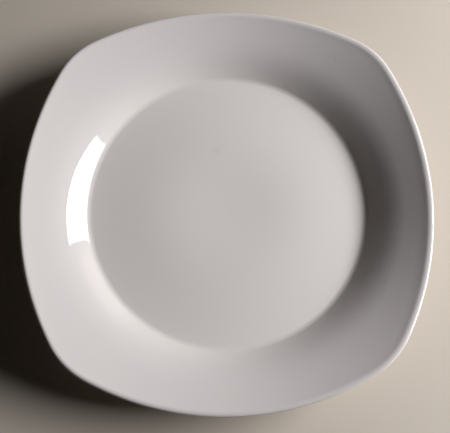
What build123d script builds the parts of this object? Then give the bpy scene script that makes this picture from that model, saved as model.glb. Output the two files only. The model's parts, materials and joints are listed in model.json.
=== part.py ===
from build123d import *
from math import cos, radians, sin, sqrt, tan
import os

# A soft-square porcelain dinner plate: a fired body with a round well and a foot ring, and the two coats
# of glaze that leave only the standing face of the foot ring bare.
# Millimetres and degrees, +Z up, origin at the middle of the surface that the plate stands on.

# Outline seen from above
plate_width = 260.0  # from side to side, at the middle of the sides
side_radius = 176.5  # bow of each side
corner_radius = 53.8

# Front, from the middle of the well outwards, measured on the glaze
well_diameter = 183.0  # where the line of the wall meets the floor
well_turn_radius = 6.0
wall_angle = 40.0
wall_run = 13.5  # level distance from the edge of the well to the shoulder
shoulder_radius = 76.0
rim_angle = 28.0

# Thickness of the glazed plate
floor_thickness = 4.2
wall_thickness = 4.3
rim_taper = 1.0  # angle between the front and the back of the rim
lip_land = 0.4  # upright band left between the two rounds of the lip

# Foot ring
foot_height = 2.3  # from the standing face up to the base inside the ring
foot_setback = 12.0  # from the edge of the well in to the outside of the ring
foot_width = 4.6
foot_draft = 15.0
foot_edge_radius = 0.6
foot_root_radius = 2.0

# Glaze
glaze_thickness = 0.3
bare_height = 0.8  # height of the foot ring that is wiped clean of glaze

# Places that follow from the sizes
floor_level = foot_height + floor_thickness
well_edge = (well_diameter / 2, floor_level)
shoulder = (well_edge[0] + wall_run, floor_level + wall_run * tan(radians(wall_angle)))
back_angle = rim_angle + rim_taper
foot_outer = (well_edge[0] - foot_setback, 0)
foot_inner = (foot_outer[0] - foot_width, 0)
side_centre = side_radius - plate_width / 2
corner_centre = (sqrt(2 * (side_radius - corner_radius) ** 2 - side_centre**2) - side_centre) / 2
corner_reach = corner_centre * sqrt(2) + corner_radius
blank_radius = plate_width


def beside(point, angle, distance):
    """A point moved squarely off a line at that angle, to the left of the line's direction."""
    return (point[0] - distance * sin(radians(angle)), point[1] + distance * cos(radians(angle)))


def crossing(line, other):
    """The point where two lines cross, each given as a point on it and its angle."""
    (x, z), angle = line
    (other_x, other_z), other_angle = other
    across = (other_x - x) * sin(radians(other_angle)) - (other_z - z) * cos(radians(other_angle))
    along = across / sin(radians(other_angle - angle))
    return (x + along * cos(radians(angle)), z + along * sin(radians(angle)))


def upright(radius):
    """A line parallel to the plate's axis."""
    return ((radius, 0), 90)


# The rim's two faces, as lines in the section, and the round that both edges of the lip have room for
rim_front = (shoulder, rim_angle)
rim_back = (beside(shoulder, rim_angle, -wall_thickness), back_angle)
lip_top = crossing(rim_front, upright(corner_reach))
lip_bottom = crossing(rim_back, upright(corner_reach))
lip_room = tan(radians(45 + rim_angle / 2)) + tan(radians(45 - back_angle / 2))
lip_radius = (lip_top[1] - lip_bottom[1] - lip_land) / lip_room


def plate_form(inset):
    """The plate with every face but the standing one drawn in by the inset."""
    ground = ((0, 0), 0)
    floor = ((0, floor_level - inset), 0)
    wall = (beside(well_edge, wall_angle, -inset), wall_angle)
    rim = (beside(rim_front[0], rim_angle, -inset), rim_angle)
    back_rim = (beside(rim_back[0], back_angle, inset), back_angle)
    back_wall = (beside(well_edge, wall_angle, inset - wall_thickness), wall_angle)
    base = ((0, foot_height + inset), 0)
    foot_outside = (beside(foot_outer, 90 - foot_draft, inset), 90 - foot_draft)
    foot_inside = (beside(foot_inner, 90 + foot_draft, -inset), 90 + foot_draft)
    section = [
        (crossing(upright(0), floor), 0),
        (crossing(floor, wall), well_turn_radius + inset),
        (crossing(wall, rim), shoulder_radius - inset),
        (crossing(rim, upright(blank_radius)), 0),
        (crossing(upright(blank_radius), back_rim), 0),
        (crossing(back_rim, back_wall), shoulder_radius - wall_thickness + inset),
        (crossing(back_wall, base), well_turn_radius + wall_thickness - inset),
        (crossing(base, foot_outside), foot_root_radius + inset),
        (crossing(foot_outside, ground), foot_edge_radius),
        (crossing(ground, foot_inside), foot_edge_radius),
        (crossing(foot_inside, base), foot_root_radius + inset),
        (crossing(base, upright(0)), 0),
    ]
    points, radii = zip(*section)
    with BuildPart() as form:
        # Thrown round, larger than the plate
        with BuildSketch(Plane.XZ):
            with BuildLine():
                FilletPolyline(*points, radius=radii, close=True)
            make_face()
        revolve(axis=Axis.Z)
        # Trimmed to the soft square, whose corners reach further up the rim than its sides
        with BuildSketch() as outline:
            Circle(blank_radius)
            for place in PolarLocations(side_centre, 4):
                with Locations(place):
                    Circle(side_radius - inset, mode=Mode.INTERSECT)
            fillet(outline.vertices(), radius=corner_radius - inset)
        extrude(amount=blank_radius, mode=Mode.INTERSECT)
        # Rounded along the lip
        sides = form.faces().filter_by(GeomType.CYLINDER)
        fillet(sides.edges().filter_by(Axis.Z, reverse=True), radius=lip_radius - inset)
    return form.part


glazed_form = plate_form(0)
fired_form = plate_form(glaze_thickness)

with BuildPart() as porcelain_body:
    add(fired_form)

with BuildPart() as glaze:
    add(glazed_form)
    add(fired_form, mode=Mode.SUBTRACT)
    split(bisect_by=Plane.XY.offset(bare_height), keep=Keep.TOP)

# The bare foot ring parts the glaze into two coats
base_coat, face_coat = glaze.solids().sort_by(SortBy.VOLUME)

with BuildPart() as face_glaze:
    add(face_coat)

with BuildPart() as base_glaze:
    add(base_coat)

os.makedirs("parts", exist_ok=True)
porcelain_body.part.label = "porcelain_body"
export_step(porcelain_body.part, "parts/porcelain_body.step")
face_glaze.part.label = "face_glaze"
export_step(face_glaze.part, "parts/face_glaze.step")
base_glaze.part.label = "base_glaze"
export_step(base_glaze.part, "parts/base_glaze.step")
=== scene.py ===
import json
from math import atan2, ceil, cos, hypot, pi, radians, sin, sqrt, tan

import bmesh
import bpy
from mathutils import Euler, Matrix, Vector


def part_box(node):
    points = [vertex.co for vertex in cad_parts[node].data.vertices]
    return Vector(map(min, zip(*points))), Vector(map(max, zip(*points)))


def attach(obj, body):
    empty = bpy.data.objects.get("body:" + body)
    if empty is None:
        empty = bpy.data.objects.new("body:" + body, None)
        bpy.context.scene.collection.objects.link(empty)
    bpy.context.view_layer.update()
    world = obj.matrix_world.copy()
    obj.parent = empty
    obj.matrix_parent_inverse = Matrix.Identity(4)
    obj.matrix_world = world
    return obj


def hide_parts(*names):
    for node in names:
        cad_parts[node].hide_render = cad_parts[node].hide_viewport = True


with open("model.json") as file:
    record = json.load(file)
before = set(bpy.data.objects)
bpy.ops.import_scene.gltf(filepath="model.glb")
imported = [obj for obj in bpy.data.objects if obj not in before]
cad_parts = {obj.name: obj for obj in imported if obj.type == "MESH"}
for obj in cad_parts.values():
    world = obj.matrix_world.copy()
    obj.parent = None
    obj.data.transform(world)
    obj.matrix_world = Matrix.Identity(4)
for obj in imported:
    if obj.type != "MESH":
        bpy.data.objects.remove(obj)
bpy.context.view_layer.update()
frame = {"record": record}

bl_info = {
    "name": "Soft-square dinner plate",
    "version": (1, 0, 0),
    "blender": (4, 5, 0),
    "location": "View3D > Sidebar > Plate",
    "description": "Builds and lights a porcelain plate: its fired body and its two coats of glaze",
    "category": "Object",
}

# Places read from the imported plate, in metres
mounts = {mount["name"]: mount["pos_m"] for mount in frame["record"]["mounts"]}
face_low, face_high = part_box("face_glaze")
body_low, body_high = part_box("porcelain_body")
plate_width = face_high.x - face_low.x
coat = (plate_width - (body_high.x - body_low.x)) / 2  # thickness of the glaze
floor_level = mounts["well_floor"][2]
foot_middle = mounts["standing_face"][0]  # from the axis to the middle of the standing face
bare_height = face_low.z  # how far up the foot ring is bare
base_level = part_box("base_glaze")[1].z - coat

PHOTO_WIDTH = 450  # pixels
SENSOR_WIDTH = 36.0  # millimetres
MILLIMETRES = 1000  # in a metre

# How finely the plate is cut up
DIRECTIONS = 256  # half sections round the plate
ARC_STEP = radians(5)  # the most that a rounded corner turns in one step
LIP_STEPS = 24  # round the nose of the lip
FLOOR_PIECES = 24  # from the axis to the turn of the well
RIM_PIECES = 8  # along the rim, on the face and on the back
SHORT_PIECES = 2  # along the wall and beside the lip
BACK_PIECES = 3  # from the turn of the back to the foot ring
FOOT_PIECES = 4  # across the standing face
BASE_PIECES = 10  # across the base inside the foot ring
ROUNDING = 1e-6  # share of a step that doesn't call for one more
AXIS_WIDTH = 1e-7  # a ring narrower than this, in metres, is a point of the axis

# Scales of the noises in the materials, and the levels of a noise between which a look sets in
CLOUD_SCALE = 14.0
WEAR_SCALE = 60.0
RIPPLE_SCALE = 35.0
DIRT_SCALE = 90.0
GRAIN_SCALE = 2500.0
CLOUD_LEVELS = (0.35, 0.65)
WORN_LEVELS = (0.45, 0.75)
# Painted light and shade: the well's colour is lighter, for the floor, and the rim's is darker, for the
# wall and rim
PAINTED_SHADE_CLIMB = 0.01  # height in metres over which the glaze passes from the well's colour to the rim's

FLOOR_SPAN = 3  # half the width of the floor, in radii at which it has passed into the surroundings
FLOOR_ROUGHNESS = 0.7

# Faint marks in the glaze: place from the middle of the well's floor, radius and strength
MARKS = (
    ((0.0412, 0.0857, 0.0024), 0.0013, 0.42),
    ((0.0728, 0.0970, 0.0196), 0.0012, 0.18),
    ((-0.0070, 0.0402, 0.0), 0.0046, 0.07),
    ((0.0010, -0.0024, 0.0), 0.0024, 0.04),
)


def length(name, default, description):
    """A size that a user may change."""
    return bpy.props.FloatProperty(
        name=name,
        description=description,
        default=default,
        min=0,
        precision=5,
        subtype="DISTANCE",
        unit="LENGTH",
    )


def offset(name, default, description):
    """A distance that may point either way."""
    return bpy.props.FloatProperty(
        name=name,
        description=description,
        default=default,
        precision=5,
        subtype="DISTANCE",
        unit="LENGTH",
    )


def angle(name, default, description):
    """An angle that a user may change, with its default in degrees."""
    return bpy.props.FloatProperty(
        name=name, description=description, default=radians(default), subtype="ANGLE", unit="ROTATION"
    )


def number(name, default, description, most=1000.0):
    """A plain number that a user may change."""
    return bpy.props.FloatProperty(
        name=name, description=description, default=default, min=0, max=most, precision=4
    )


def colour(name, default, description):
    """A colour that a user may change, in linear red, green and blue."""
    return bpy.props.FloatVectorProperty(
        name=name, description=description, default=default, size=3, min=0, max=1, subtype="COLOR"
    )


class PlateSizes(bpy.types.PropertyGroup):
    """Sizes of the plate, measured on the glaze."""

    width: length("Width", plate_width, "From side to side, at the middle of the sides")
    side_radius: length("Side bow", 0.1765, "Radius of each bowed side")
    corner_radius: length("Corners", 0.0538, "Radius of each corner")
    well_diameter: length("Well", 0.183, "Where the line of the wall meets the floor of the well")
    crown: length("Crown", 0.00028, "Rise of the floor of the well towards its middle")
    swell: length("Swell", 0.001, "Further rise of the floor half way out from its middle")
    well_turn: length("Well turn", 0.006, "Radius between the floor and the wall")
    wall_angle: angle("Wall", 40.0, "Slope of the wall of the well")
    wall_run: length("Wall run", 0.0135, "Level distance from the edge of the well to the shoulder")
    shoulder_radius: length("Shoulder", 0.076, "Radius between the wall and the rim")
    rim_angle: angle("Rim", 28.0, "Slope of the rim at the middle of the sides")
    corner_ease: angle("Corner ease", 0.8, "How much flatter the rim is at the corners")
    flick_run: length("Flick run", 0.0065, "How far in from the outline the rim begins to turn up")
    flick_angle: angle("Flick", 2.0, "How much steeper the rim is beside the lip")
    flick_radius: length("Flick turn", 0.1, "Radius of the turn up beside the lip")
    lip_length: length("Lip length", 0.0029, "From the tip of the lip to the full thickness of the rim")
    lip_drift: length("Lip drift", 0.0009, "Length that the lip gains on the right and loses on the left")
    lip_thickness: length("Lip thickness", 0.0038, "Thickness of the rim beside the lip")
    wall_thickness: length("Wall thickness", 0.0043, "Thickness of the wall and the shoulder")
    foot_width: length("Foot width", 0.0046, "Width of the foot ring at the standing face")
    foot_draft: angle("Foot draft", 15.0, "Lean of the sides of the foot ring")
    foot_edge: length("Foot edge", 0.0006, "Radius of the edges of the standing face")
    foot_root: length("Foot root", 0.002, "Radius between the foot ring and the back")


class GlazeLook(bpy.types.PropertyGroup):
    """Colours and gloss of the glaze."""

    # The well's colour is painted lighter as painted light on the floor, and the rim's is painted darker
    # as painted shade on the wall and rim; the well's colour is also warmer
    well: colour("Well", (0.842, 0.794, 0.773), "Glaze where it lies thick, on the floor of the well")
    rim: colour("Rim", (0.796, 0.749, 0.749), "Glaze where it lies thin, on the wall and the rim")
    pale: colour("Pale", (0.86, 0.81, 0.79), "Colour that the glaze clouds towards")
    cloud: number("Cloud", 0.25, "How far the glaze clouds", most=1.0)
    speck: colour("Speck", (0.22, 0.19, 0.17), "Colour of the marks in the glaze")
    gloss: number("Roughness", 0.03, "Roughness of the clean glaze", most=1.0)
    haze: number("Worn roughness", 0.06, "Roughness where cutlery and washing have dulled it", most=1.0)
    ripple: length("Ripple", 0.00002, "Depth of the slow ripple in the glaze")


class BisqueLook(bpy.types.PropertyGroup):
    """Colours and grain of the bare fired body."""

    clay: colour("Clay", (0.70, 0.65, 0.58), "Colour of the fired body")
    rubbed: colour("Rubbed", (0.46, 0.42, 0.37), "Colour where the standing face has picked up dirt")
    roughness: number("Roughness", 0.85, "Roughness of the ground body", most=1.0)
    grain: length("Grain", 0.00004, "Depth of the ground grain")


class KeyLamp(bpy.types.PropertyGroup):
    """The soft box that lights the plate from the right."""

    distance: length("Distance", 0.976, "From the middle of the well to the lamp")
    azimuth: angle("Azimuth", 6.3, "Direction of the lamp, from the right towards the back")
    elevation: angle("Elevation", 30.2, "Angle of the lamp above the floor of the well")
    width: length("Width", 0.676, "Width of the lamp")
    height: length("Height", 0.225, "Height of the lamp")
    power: number("Power", 13.1, "Power of the lamp, in watts")
    tint: colour("Tint", (1.0, 1.0, 1.0), "Colour of the lamp")
    fade: number("Fade", 0.02, "Share of the lamp over which its glow fades to its edge", most=0.5)
    taper: number("Taper", 4.0, "How many times longer the glow fades at its front end")
    roll: angle("Roll", -3.5, "Turn of the lamp about its own line")


class GlowLamp(bpy.types.PropertyGroup):
    """The dim warm panel beside the soft box, whose reflection lies below the highlight."""

    distance: length("Distance", 0.811, "From the middle of the well to the lamp")
    azimuth: angle("Azimuth", 44.0, "Direction of the lamp, from the right towards the back")
    elevation: angle("Elevation", 20.0, "Angle of the lamp above the floor of the well")
    width: length("Width", 0.52, "Width of the lamp")
    height: length("Height", 0.24, "Height of the lamp")
    power: number("Power", 0.46, "Power of the lamp, in watts")
    tint: colour("Tint", (1.0, 0.94, 0.86), "Colour of the lamp")
    fade: number("Fade", 0.3, "Share of the lamp over which its glow fades to its edge", most=0.5)
    taper: number("Taper", 1.0, "How many times longer the glow fades at its front end")
    roll: angle("Roll", 0.0, "Turn of the lamp about its own line")


class StageLook(bpy.types.PropertyGroup):
    """Floor, surroundings and camera."""

    floor_colour: colour("Floor", (0.66, 0.59, 0.515), "Colour of the floor")
    far_colour: colour("Surroundings", (0.72, 0.67, 0.61), "Colour seen round and beyond the floor")
    near: length("Near", 0.22, "Radius of the floor round the plate that shows its own shading")
    far: length("Far", 0.5, "Radius at which the floor has passed into the surroundings")
    fill: number("Fill", 0.0112, "Strength of the light from all round")
    fill_tint: colour("Fill tint", (1.0, 0.85, 0.66), "Colour of the light from all round")
    view_distance: length("View distance", 0.4179, "From the middle of the well to the camera")
    view_tilt: angle("View tilt", 11.97, "Lean of the view away from straight down")
    view_turn: angle("View turn", -1.137, "Turn of the view about its own line")
    view_lean: angle("View lean", -1.606, "Lean of the view to one side")
    view_across: offset("View across", 0.01067, "Camera's shift to the right of the middle of the well")
    view_up: offset("View up", -0.00498, "Camera's shift up from the middle of the well")
    scale: number("Scale", 1.5092, "Pixels of the photograph to a millimetre, at the middle of the well")
    trim: number("Trim", 19.1, "Pixels by which more is trimmed off the photograph's left side")


def beside(point, heading, distance):
    """A point moved squarely off a line at that heading, to its left."""
    return (point[0] - distance * sin(heading), point[1] + distance * cos(heading))


def crossing(line, other):
    """The point where two lines cross, each given as a point on it and its heading."""
    (x, z), heading = line
    (other_x, other_z), other_heading = other
    across = (other_x - x) * sin(other_heading) - (other_z - z) * cos(other_heading)
    along = across / sin(other_heading - heading)
    return (x + along * cos(heading), z + along * sin(heading))


def level(height):
    """A level line across the section."""
    return ((0.0, height), 0.0)


def upright(radius):
    """A line of the section that is parallel to the plate's axis."""
    return ((radius, 0.0), pi / 2)


def straight(start, end, pieces):
    """The points of a straight run after its first point."""
    return [
        (start[0] + (end[0] - start[0]) * k / pieces, start[1] + (end[1] - start[1]) * k / pieces)
        for k in range(1, pieces + 1)
    ]


def trace(corners):
    """Points along straight runs whose corners are rounded. A corner is its place, its radius and the
    number of pieces in the run up to it."""
    points = [corners[0][0]]
    for (before, _, _), (corner, radius, pieces), (after, _, _) in zip(corners, corners[1:], corners[2:]):
        heading = atan2(corner[1] - before[1], corner[0] - before[0])
        leaving = atan2(after[1] - corner[1], after[0] - corner[0])
        turn = (leaving - heading + pi) % (2 * pi) - pi
        reach = radius * tan(abs(turn) / 2)
        start = (corner[0] - reach * cos(heading), corner[1] - reach * sin(heading))
        points += straight(points[-1], start, pieces)
        steps = max(2, ceil(abs(turn) / ARC_STEP - ROUNDING))
        side = radius if turn > 0 else -radius
        for k in range(1, steps + 1):
            now = heading + turn * k / steps
            across = side * (sin(now) - sin(heading))
            up = side * (cos(heading) - cos(now))
            points.append((start[0] + across, start[1] + up))
    end, _, pieces = corners[-1]
    return points + straight(points[-1], end, pieces)


def outline_reach(plate, direction):
    """Distance from the axis to the soft-square outline."""
    half = plate.width / 2
    side_centre = plate.side_radius - half
    apart = plate.side_radius - plate.corner_radius
    corner_centre = (sqrt(2 * apart**2 - side_centre**2) - side_centre) / 2
    folded = abs((direction + pi / 4) % (pi / 2) - pi / 4)
    # The corner takes over where the line through the two centres meets the outline
    line = atan2(corner_centre, corner_centre + side_centre)
    join = atan2(plate.side_radius * sin(line), plate.side_radius * cos(line) - side_centre)
    if folded <= join:
        lean = side_centre * cos(folded)
        return sqrt(lean**2 + plate.side_radius**2 - side_centre**2) - lean
    lean = corner_centre * (cos(folded) + sin(folded))
    return lean + sqrt(lean**2 + plate.corner_radius**2 - 2 * corner_centre**2)


def floor_rise(plate, share):
    """How far the floor of the well lies above its edge, at a share of the way out from its middle."""
    if share >= 1:
        return 0.0
    return plate.crown * (1 - share**2) + plate.swell * (1 - cos(2 * pi * share)) / 2


def half_section(plate, direction, inset):
    """The plate cut from its axis to its outline, drawn in by the inset, as three runs of points: over
    the face and down the back to the bare foot, round the standing face, and along the base to the
    axis."""
    reach = outline_reach(plate, direction)
    lip_length = plate.lip_length + plate.lip_drift * cos(direction)
    wall = plate.wall_angle
    rim = plate.rim_angle - plate.corner_ease * sin(2 * direction) ** 2
    lip = rim + plate.flick_angle
    edge = (plate.well_diameter / 2, floor_level)
    shoulder = (edge[0] + plate.wall_run, edge[1] + plate.wall_run * tan(wall))
    flick = crossing((shoulder, rim), upright(reach - plate.flick_run))
    half_lip = plate.lip_thickness / 2

    # The lip is half an ellipse about a point of the rim's middle
    tip_reach = hypot(lip_length * cos(lip), half_lip * sin(lip))
    middle = crossing((beside(flick, lip, -half_lip), lip), upright(reach - tip_reach))
    long, short = lip_length - inset, half_lip - inset
    nose = []
    for k in range(LIP_STEPS + 1):
        turn = pi / 2 - pi * k / LIP_STEPS
        along = (middle[0] + long * cos(turn) * cos(lip), middle[1] + long * cos(turn) * sin(lip))
        nose.append(beside(along, lip, short * sin(turn)))

    floor_line = level(floor_level - inset)
    wall_line = (beside(edge, wall, -inset), wall)
    rim_line = (beside(shoulder, rim, -inset), rim)
    lip_line = (beside(flick, lip, -inset), lip)
    face = trace(
        [
            (crossing(upright(0), floor_line), 0, 0),
            (crossing(floor_line, wall_line), plate.well_turn + inset, FLOOR_PIECES),
            (crossing(wall_line, rim_line), plate.shoulder_radius - inset, SHORT_PIECES),
            (crossing(rim_line, lip_line), plate.flick_radius + inset, RIM_PIECES),
            (nose[0], 0, SHORT_PIECES),
        ]
    )

    floor_edge = edge[0] - plate.well_turn * tan(wall / 2)
    face = [(r, z + floor_rise(plate, r / floor_edge)) for r, z in face]

    back_shoulder = beside(shoulder, (wall + rim) / 2, -plate.wall_thickness)
    back_flick = beside(flick, (rim + lip) / 2, -plate.lip_thickness)
    back_rim = atan2(back_flick[1] - back_shoulder[1], back_flick[0] - back_shoulder[0])
    back_lip_line = (beside(flick, lip, inset - plate.lip_thickness), lip)
    back_rim_line = (beside(back_shoulder, back_rim, inset), back_rim)
    back_wall_line = (beside(back_shoulder, wall, inset), wall)
    base_line = level(base_level + inset)
    lean = plate.foot_draft
    outside = (beside((foot_middle + plate.foot_width / 2, 0), pi / 2 - lean, inset), pi / 2 - lean)
    inside = (beside((foot_middle - plate.foot_width / 2, 0), pi / 2 + lean, -inset), pi / 2 + lean)
    foot_top, foot_end = crossing(outside, level(bare_height)), crossing(inside, level(bare_height))
    flick_radius = plate.flick_radius + plate.lip_thickness - inset
    shoulder_radius = plate.shoulder_radius - plate.wall_thickness + inset
    turn_radius = plate.well_turn + plate.wall_thickness - inset
    back = trace(
        [
            (nose[-1], 0, 0),
            (crossing(back_lip_line, back_rim_line), flick_radius, SHORT_PIECES),
            (crossing(back_rim_line, back_wall_line), shoulder_radius, RIM_PIECES),
            (crossing(back_wall_line, base_line), turn_radius, SHORT_PIECES),
            (crossing(base_line, outside), plate.foot_root + inset, BACK_PIECES),
            (foot_top, 0, 1),
        ]
    )
    foot = trace(
        [
            (foot_top, 0, 0),
            (crossing(outside, level(0)), plate.foot_edge, 1),
            (crossing(inside, level(0)), plate.foot_edge, FOOT_PIECES),
            (foot_end, 0, 1),
        ]
    )
    base = trace(
        [
            (foot_end, 0, 0),
            (crossing(inside, base_line), plate.foot_root + inset, 1),
            (crossing(upright(0), base_line), 0, BASE_PIECES),
        ]
    )
    return face + nose[1:-1] + back, foot, base


def turned(name, sections):
    """A closed mesh object through half sections that stand in turn round the axis."""
    mesh = bpy.data.meshes.new(name)
    bm = bmesh.new()
    directions = [2 * pi * k / len(sections) for k in range(len(sections))]
    rings = []
    for ring in zip(*sections):
        if max(radius for radius, _ in ring) < AXIS_WIDTH:
            rings.append([bm.verts.new((0, 0, ring[0][1]))] * len(ring))
        else:
            rings.append(
                [bm.verts.new((r * cos(d), r * sin(d), z)) for (r, z), d in zip(ring, directions)]
            )
    for ring, following in zip(rings, rings[1:]):
        for k in range(len(ring)):
            # At the axis, two of the four corners are one point
            bm.faces.new(dict.fromkeys((ring[k - 1], ring[k], following[k], following[k - 1])))
    bmesh.ops.recalc_face_normals(bm, faces=bm.faces)
    for face in bm.faces:
        face.smooth = True
    bm.to_mesh(mesh)
    bm.free()
    piece = bpy.data.objects.new(name, mesh)
    bpy.context.scene.collection.objects.link(piece)
    return piece


def sections_round(plate, inset):
    """The plate's half sections in every direction."""
    return [half_section(plate, 2 * pi * k / DIRECTIONS, inset) for k in range(DIRECTIONS)]


class NodeBench:
    """Short words for building the nodes of a material, a lamp or the world."""

    def __init__(self, holder):
        holder.use_nodes = True
        self.tree = holder.node_tree
        self.nodes = self.tree.nodes

    def add(self, kind, **values):
        node = self.nodes.new(kind)
        for key, value in values.items():
            setattr(node, key, value)
        return node

    def join(self, source, target):
        """Feeds a socket from another one, or sets it to a number or a colour."""
        if isinstance(source, bpy.types.NodeSocket):
            self.tree.links.new(source, target)
        else:
            target.default_value = source

    def math(self, operation, first, second):
        node = self.add("ShaderNodeMath", operation=operation)
        self.join(first, node.inputs[0])
        self.join(second, node.inputs[1])
        return node.outputs["Value"]

    def noise(self, scale, detail, roughness=0.5):
        node = self.add("ShaderNodeTexNoise")
        self.join(self.place(), node.inputs["Vector"])
        for socket, value in (("Scale", scale), ("Detail", detail), ("Roughness", roughness)):
            node.inputs[socket].default_value = value
        return node.outputs["Fac"]

    def place(self):
        return self.add("ShaderNodeTexCoord").outputs["Object"]

    def height(self):
        split = self.add("ShaderNodeSeparateXYZ")
        self.join(self.place(), split.inputs["Vector"])
        return split.outputs["Z"]

    def ramp(self, source, low, high, first=0.0, last=1.0, smooth=False):
        node = self.add("ShaderNodeMapRange", interpolation_type="SMOOTHSTEP" if smooth else "LINEAR")
        self.join(source, node.inputs["Value"])
        for socket, value in (("From Min", low), ("From Max", high), ("To Min", first), ("To Max", last)):
            node.inputs[socket].default_value = value
        return node.outputs["Result"]

    def away(self, centre, low, high, first, last):
        """A smooth passage from one number to another with the distance from a place."""
        node = self.add("ShaderNodeVectorMath", operation="DISTANCE")
        self.join(self.place(), node.inputs[0])
        node.inputs[1].default_value = centre
        return self.ramp(node.outputs["Value"], low, high, first, last, smooth=True)

    def blend(self, factor, first, last):
        """A colour between two, each a colour or the output of another blend."""
        node = self.add("ShaderNodeMix", data_type="RGBA")
        self.join(factor, node.inputs["Factor"])
        for socket, value in (("A", first), ("B", last)):
            target = next(s for s in node.inputs if s.name == socket and s.type == "RGBA")
            self.join(value if isinstance(value, bpy.types.NodeSocket) else (*value, 1.0), target)
        return next(s for s in node.outputs if s.type == "RGBA")

    def bump(self, source, depth):
        node = self.add("ShaderNodeBump")
        node.inputs["Distance"].default_value = depth
        self.join(source, node.inputs["Height"])
        self.join(node.outputs["Normal"], self.nodes["Principled BSDF"].inputs["Normal"])


def glaze_material(look):
    """White gloss glaze: warmer in the well, painted lighter on the floor as painted light and darker on
    the wall and rim as painted shade, slightly clouded, with a faint ripple, dulled patches and a few
    marks."""
    material = bpy.data.materials.new("white_glaze")
    bench = NodeBench(material)
    surface = bench.nodes["Principled BSDF"].inputs
    # Painted light on the floor of the well and painted shade on the wall and rim: with height the colour
    # passes from the lighter well colour to the darker rim colour
    painted_shade_climb = bench.ramp(bench.height(), floor_level, floor_level + PAINTED_SHADE_CLIMB, smooth=True)
    tone = bench.ramp(bench.noise(CLOUD_SCALE, detail=3.0), *CLOUD_LEVELS, 0.0, look.cloud)
    paint = bench.blend(tone, bench.blend(painted_shade_climb, look.well, look.rim), look.pale)
    for (x, y, rise), radius, strength in MARKS:
        mark = bench.away((x, y, floor_level + rise), 0.0, radius, strength, 0.0)
        paint = bench.blend(mark, paint, look.speck)
    bench.join(paint, surface["Base Color"])
    wear = bench.ramp(bench.noise(WEAR_SCALE, detail=4.0), *WORN_LEVELS, look.gloss, look.haze)
    bench.join(wear, surface["Roughness"])
    bench.bump(bench.noise(RIPPLE_SCALE, detail=1.0), look.ripple)
    return material


def bisque_material(look):
    """Bare ground porcelain: matt, finely grained and rubbed grey in places."""
    material = bpy.data.materials.new("bare_bisque")
    bench = NodeBench(material)
    surface = bench.nodes["Principled BSDF"].inputs
    dirt = bench.ramp(bench.noise(DIRT_SCALE, detail=5.0, roughness=0.6), *WORN_LEVELS)
    bench.join(bench.blend(dirt, look.clay, look.rubbed), surface["Base Color"])
    surface["Roughness"].default_value = look.roughness
    bench.bump(bench.noise(GRAIN_SCALE, detail=3.0), look.grain)
    return material


def finish_piece(piece, node, material):
    """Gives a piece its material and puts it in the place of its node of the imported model."""
    piece.data.materials.append(material)
    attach(piece, "root")
    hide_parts(node)


class PLATE_OT_body(bpy.types.Operator):
    """Build the fired body, which shows at the bare foot ring"""

    bl_idname = "plate.body"
    bl_label = "Fired body"

    def execute(self, context):
        plate = context.scene.plate_sizes
        sections = [face + foot[1:] + base[1:] for face, foot, base in sections_round(plate, coat)]
        material = bisque_material(context.scene.plate_bisque)
        finish_piece(turned("fired_body", sections), "porcelain_body", material)
        return {"FINISHED"}


class PLATE_OT_glaze(bpy.types.Operator):
    """Build the coat of glaze on the face and back, and the one inside the foot ring"""

    bl_idname = "plate.glaze"
    bl_label = "Glaze coats"

    def execute(self, context):
        plate = context.scene.plate_sizes
        material = glaze_material(context.scene.plate_glaze)
        coats = list(zip(sections_round(plate, 0.0), sections_round(plate, coat)))
        face = [outer[0] + inner[0][::-1] for outer, inner in coats]
        finish_piece(turned("glaze_of_face", face), "face_glaze", material)
        base = [inner[2][::-1] + outer[2] for outer, inner in coats]
        finish_piece(turned("glaze_of_base", base), "base_glaze", material)
        return {"FINISHED"}


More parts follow.
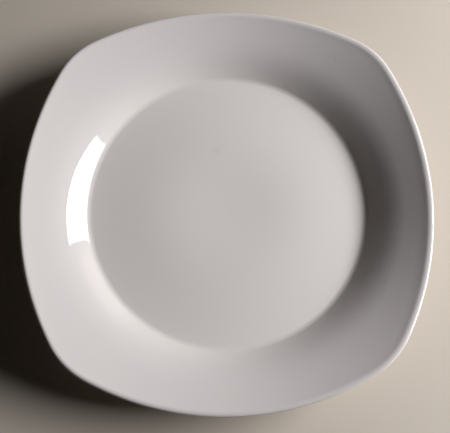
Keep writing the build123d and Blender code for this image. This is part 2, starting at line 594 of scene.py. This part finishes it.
class PLATE_OT_stage(bpy.types.Operator):
    """Lay the floor, hang the light and place the camera"""

    bl_idname = "plate.stage"
    bl_label = "Stage"

    def execute(self, context):
        scene, stage = context.scene, context.scene.plate_stage
        well = Vector((0, 0, floor_level))
        self.lay_floor(scene, stage)
        self.hang_lamp(scene, "soft_box", scene.plate_key, well)
        self.hang_lamp(scene, "warm_panel", scene.plate_glow, well)
        self.light_world(scene, stage)
        self.place_camera(scene, stage, well)
        scene.view_settings.view_transform = "Standard"
        return {"FINISHED"}

    def lay_floor(self, scene, stage):
        mesh = bpy.data.meshes.new("floor")
        bm = bmesh.new()
        bmesh.ops.create_grid(bm, x_segments=1, y_segments=1, size=stage.far * FLOOR_SPAN)
        bm.to_mesh(mesh)
        bm.free()
        floor = bpy.data.objects.new("floor", mesh)
        scene.collection.objects.link(floor)
        material = bpy.data.materials.new("pale_floor")
        mesh.materials.append(material)
        bench = NodeBench(material)
        surface = bench.nodes["Principled BSDF"]
        surface.inputs["Base Color"].default_value = (*stage.floor_colour, 1.0)
        surface.inputs["Roughness"].default_value = FLOOR_ROUGHNESS
        # Far from the plate the camera sees the colour of the surroundings
        beyond = bench.add("ShaderNodeEmission")
        beyond.inputs["Color"].default_value = (*stage.far_colour, 1.0)
        seen = bench.add("ShaderNodeLightPath").outputs["Is Camera Ray"]
        passing = bench.add("ShaderNodeMixShader")
        far = bench.away((0.0, 0.0, 0.0), stage.near, stage.far, 0.0, 1.0)
        bench.join(bench.math("MULTIPLY", seen, far), passing.inputs["Fac"])
        bench.join(surface.outputs["BSDF"], passing.inputs[1])
        bench.join(beyond.outputs["Emission"], passing.inputs[2])
        bench.join(passing.outputs["Shader"], bench.nodes["Material Output"].inputs["Surface"])

    def hang_lamp(self, scene, name, look, well):
        lamp = bpy.data.lights.new(name, "AREA")
        lamp.shape = "RECTANGLE"
        lamp.size, lamp.size_y = look.width, look.height
        lamp.energy = look.power
        lamp.color = look.tint
        light = bpy.data.objects.new(name, lamp)
        aim = Euler((0, -look.elevation, look.azimuth)).to_matrix() @ Vector((1, 0, 0))
        light.location = well + aim * look.distance
        facing = aim.to_track_quat("Z", "Y") @ Euler((0, 0, look.roll)).to_quaternion()
        light.rotation_euler = facing.to_euler()
        light.visible_camera = False
        scene.collection.objects.link(light)
        # The glow fades towards the edges of the lamp, and more slowly at one end
        bench = NodeBench(lamp)
        split = bench.add("ShaderNodeSeparateXYZ")
        bench.join(bench.add("ShaderNodeNewGeometry").outputs["Parametric"], split.inputs["Vector"])
        across, up = split.outputs["X"], split.outputs["Y"]
        sides = ((bench.math("DIVIDE", across, look.taper), across), (up, up))
        glow = 1.0
        for start, place in sides:
            inward = bench.math("MINIMUM", start, bench.math("SUBTRACT", 1.0, place))
            glow = bench.math("MULTIPLY", bench.ramp(inward, 0.0, look.fade, smooth=True), glow)
        bench.join(glow, bench.nodes["Emission"].inputs["Strength"])

    def light_world(self, scene, stage):
        world = bpy.data.worlds.new("studio")
        scene.world = world
        bench = NodeBench(world)
        sky = bench.nodes["Background"].inputs
        seen = bench.add("ShaderNodeLightPath").outputs["Is Camera Ray"]
        bench.join(bench.blend(seen, stage.fill_tint, stage.far_colour), sky["Color"])
        bench.join(bench.ramp(seen, 0.0, 1.0, stage.fill, 1.0), sky["Strength"])

    def place_camera(self, scene, stage, well):
        lens = bpy.data.cameras.new("camera")
        lens.sensor_width = SENSOR_WIDTH
        lens.sensor_fit = "HORIZONTAL"
        lens.lens = stage.scale * stage.view_distance * MILLIMETRES / PHOTO_WIDTH * SENSOR_WIDTH
        lens.shift_x = -stage.trim / PHOTO_WIDTH
        camera = bpy.data.objects.new("camera", lens)
        camera.rotation_euler = (stage.view_tilt, stage.view_lean, stage.view_turn)
        turn = camera.rotation_euler.to_matrix()
        camera.location = well + turn @ Vector((stage.view_across, stage.view_up, stage.view_distance))
        scene.collection.objects.link(camera)
        scene.camera = camera


class PLATE_PT_sidebar(bpy.types.Panel):
    """Lists the plate's pieces and its stage"""

    bl_idname = "PLATE_PT_sidebar"
    bl_label = "Plate"
    bl_space_type = "VIEW_3D"
    bl_region_type = "UI"
    bl_category = "Plate"

    def draw(self, context):
        for operator in OPERATORS:
            self.layout.operator(operator.bl_idname)
        for group in GROUPS:
            settings = getattr(context.scene, group)
            column = self.layout.column(align=True)
            for name in settings.bl_rna.properties.keys():
                if name not in {"rna_type", "name"}:
                    column.prop(settings, name)


OPERATORS = (PLATE_OT_body, PLATE_OT_glaze, PLATE_OT_stage)
GROUPS = {
    "plate_sizes": PlateSizes,
    "plate_glaze": GlazeLook,
    "plate_bisque": BisqueLook,
    "plate_key": KeyLamp,
    "plate_glow": GlowLamp,
    "plate_stage": StageLook,
}


def register():
    for group, kind in GROUPS.items():
        bpy.utils.register_class(kind)
        setattr(bpy.types.Scene, group, bpy.props.PointerProperty(type=kind))
    for kind in (*OPERATORS, PLATE_PT_sidebar):
        bpy.utils.register_class(kind)


def unregister():
    for kind in (PLATE_PT_sidebar, *reversed(OPERATORS)):
        bpy.utils.unregister_class(kind)
    for group, kind in reversed(GROUPS.items()):
        delattr(bpy.types.Scene, group)
        bpy.utils.unregister_class(kind)


def main():
    register()
    bpy.ops.plate.body()
    bpy.ops.plate.glaze()
    bpy.ops.plate.stage()


if __name__ == "__main__":
    main()
